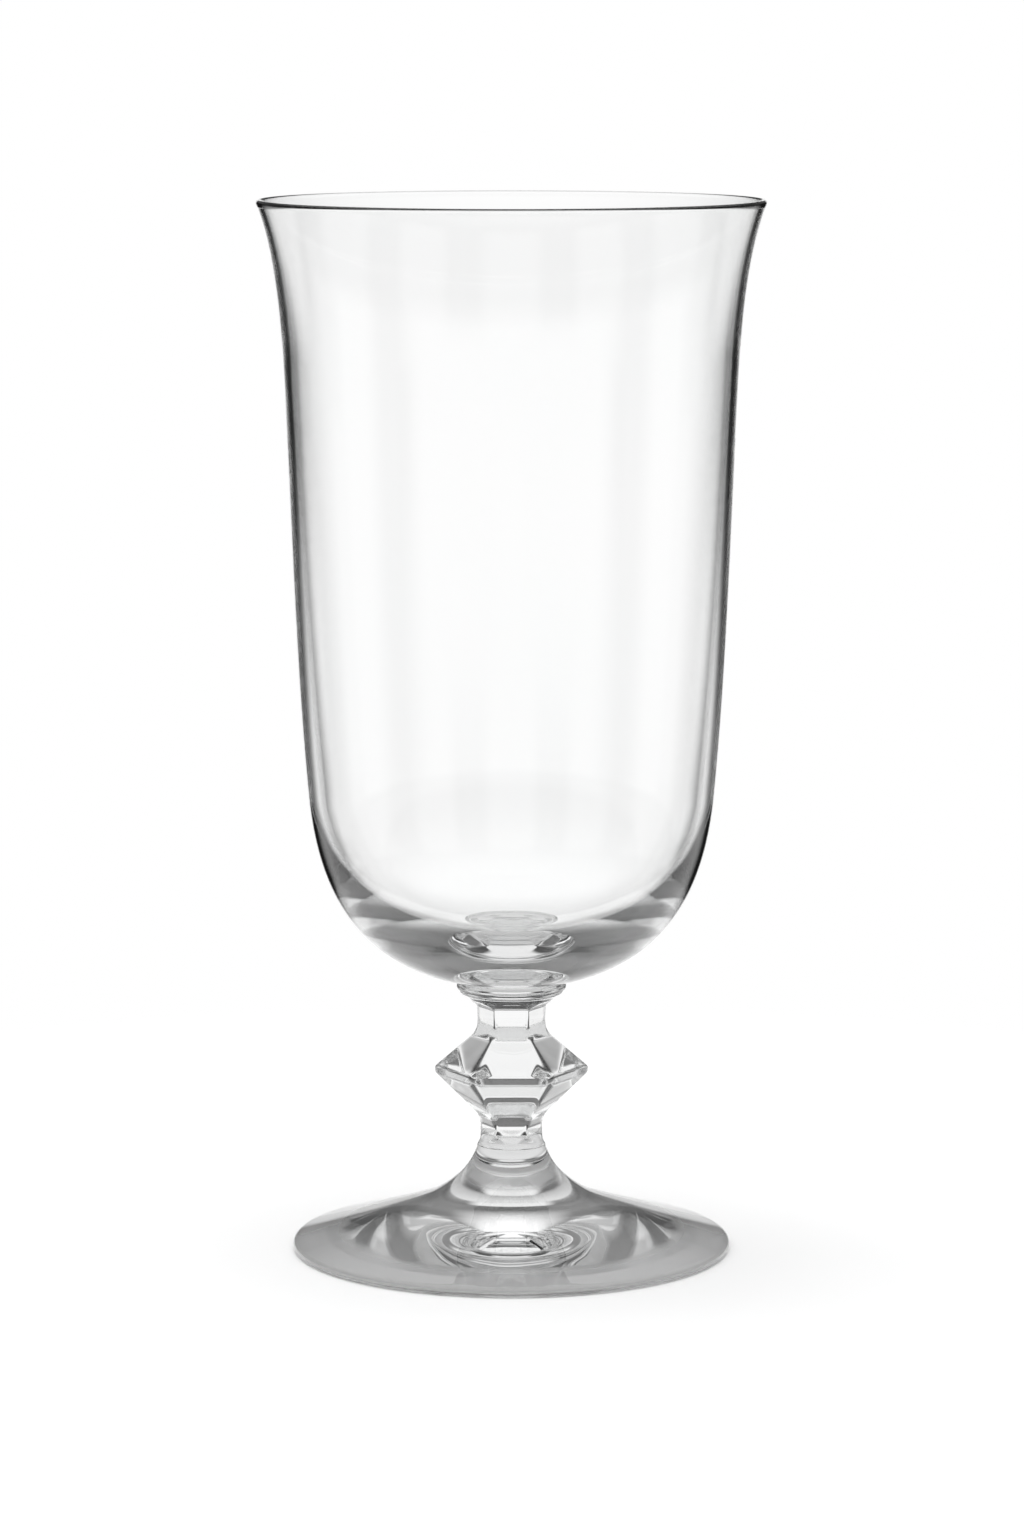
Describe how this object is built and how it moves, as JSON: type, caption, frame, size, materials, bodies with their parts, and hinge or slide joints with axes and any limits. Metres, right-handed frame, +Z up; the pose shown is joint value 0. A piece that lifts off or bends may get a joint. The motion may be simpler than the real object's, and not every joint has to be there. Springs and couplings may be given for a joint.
{
  "type": "footed glass vase",
  "caption": "Tall footed vase of clear glass: a deep bowl with a slightly flared rim on a panelled stem with a double-cone knop and a trumpet foot.",
  "frame": {"origin": "centre of the foot's ground ring, on the surface that the vase stands on", "axes": "+Z up along the vase's axis of turning, a flat panel of the stem faces -Y"},
  "size_m": [0.124, 0.124, 0.26],
  "materials": {
    "blown_glass": "polished, blown",
    "stem_glass": "polished, solid"
  },
  "bodies": {
    "root": {"bowl": "blown_glass", "collar": "stem_glass", "stem": "stem_glass", "foot": "stem_glass"}
  },
  "joints": []
}
